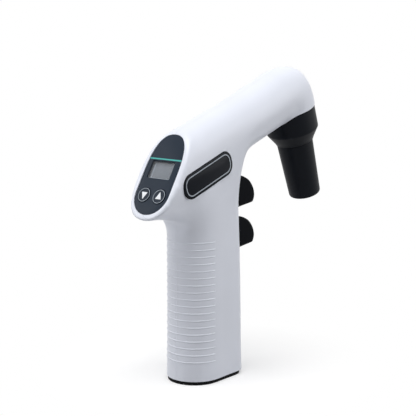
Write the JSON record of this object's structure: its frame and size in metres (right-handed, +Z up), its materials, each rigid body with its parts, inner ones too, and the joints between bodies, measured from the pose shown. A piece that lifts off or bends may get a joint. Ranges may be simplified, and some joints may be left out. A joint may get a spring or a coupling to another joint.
{
  "type": "pipette controller",
  "caption": "Cordless pistol-grip pipette controller with sloping barrel, display and keys at the rear, downturned black nose and finger triggers; air pump and valves inside.",
  "frame": {"origin": "the middle of the base, where it stands", "axes": "+Z up, +X to the nose and the triggers, +Y to the left-hand side as the display faces the user; the housing halves meet on Y = 0"},
  "size_m": [0.1695, 0.0355, 0.1887],
  "materials": {
    "white_shell": "satin moulded plastic, cool white",
    "navy_panel": "smooth dark navy membrane",
    "clear_window": "clear acrylic window",
    "screen_grey": "grey liquid crystal display",
    "key_black": "smooth dark key cap",
    "bright_metal": "plain bright steel",
    "board_green": "green circuit board",
    "black_nose": "satin black moulded plastic",
    "black_rubber": "black rubber",
    "silicone": "translucent grey silicone",
    "filter_plastic": "pale moulded plastic",
    "valve_plastic": "grey moulded plastic",
    "black_trigger": "smooth black moulded plastic",
    "motor_can": "plain metal can",
    "cell_wrap": "coloured wrap on a metal can",
    "badge_black": "glossy black plate with a pale printed border"
  },
  "bodies": {
    "housing": {"housing_right": "white_shell", "housing_left": "white_shell", "display_panel": "navy_panel", "display_window": "clear_window", "display_module": "screen_grey", "switch_slower": "bright_metal", "switch_faster": "bright_metal", "main_board": "board_green", "nose_holder": "black_nose", "nose_seal": "black_rubber", "valve_block": "valve_plastic", "spring_upper": "bright_metal", "spring_lower": "bright_metal", "pump_motor": "motor_can", "pump_frame": "valve_plastic", "pump_cover": "filter_plastic", "pump_tube": "silicone", "nose_tube": "silicone", "battery_cell": "cell_wrap", "charging_board": "board_green", "charging_socket": "bright_metal", "base_cover": "black_rubber", "badge_right": "badge_black", "base_screw_left": "bright_metal", "base_screw_right": "bright_metal", "screw_grip_low": "bright_metal", "screw_grip_high": "bright_metal", "screw_barrel_rear": "bright_metal", "screw_barrel_front": "bright_metal"},
    "upper_trigger": {"trigger_upper": "black_trigger", "valve_stem_upper": "bright_metal"},
    "lower_trigger": {"trigger_lower": "black_trigger", "valve_stem_lower": "bright_metal"},
    "slower_key": {"key_slower": "key_black"},
    "faster_key": {"key_faster": "key_black"},
    "nose_insert": {"pipette_adapter": "silicone", "membrane_filter": "filter_plastic"},
    "nose_shell": {"nose_cone": "black_nose"},
    "rotor": {"pump_rotor": "valve_plastic"}
  },
  "joints": [
    {"name": "upper_trigger_press", "type": "slide", "parent": "housing", "child": "upper_trigger", "axis": [-1, 0, 0], "range_m": [0, 0.005], "stiffness_N_per_m": 400, "deforming": ["spring_upper"]},
    {"name": "lower_trigger_press", "type": "slide", "parent": "housing", "child": "lower_trigger", "axis": [-1, 0, 0], "range_m": [0, 0.005], "stiffness_N_per_m": 400, "deforming": ["spring_lower"]},
    {"name": "slower_key_press", "type": "slide", "parent": "housing", "child": "slower_key", "axis": [0.8526, 0, -0.5225], "range_m": [0, 0.0008], "stiffness_N_per_m": 800},
    {"name": "faster_key_press", "type": "slide", "parent": "housing", "child": "faster_key", "axis": [0.8526, 0, -0.5225], "range_m": [0, 0.0008], "stiffness_N_per_m": 800},
    {"name": "nose_slide", "type": "slide", "parent": "housing", "child": "nose_insert", "axis": [0.3256, 0, -0.9455], "range_m": [0, 0.0075]},
    {"name": "nose_turn", "type": "hinge", "parent": "nose_insert", "child": "nose_shell", "pos_m": [0.09568, 0, 0.1392], "axis": [0.3256, 0, -0.9455], "range_deg": [0, 1080]},
    {"name": "pump_spin", "type": "hinge", "parent": "housing", "child": "rotor", "pos_m": [0, 0, 0.1437], "axis": [0.9455, 0, 0.3256], "continuous": true}
  ],
  "couplings": [
    {"joint": "nose_slide", "follows": "nose_turn", "m_per_rad": 0.00039789}
  ]
}
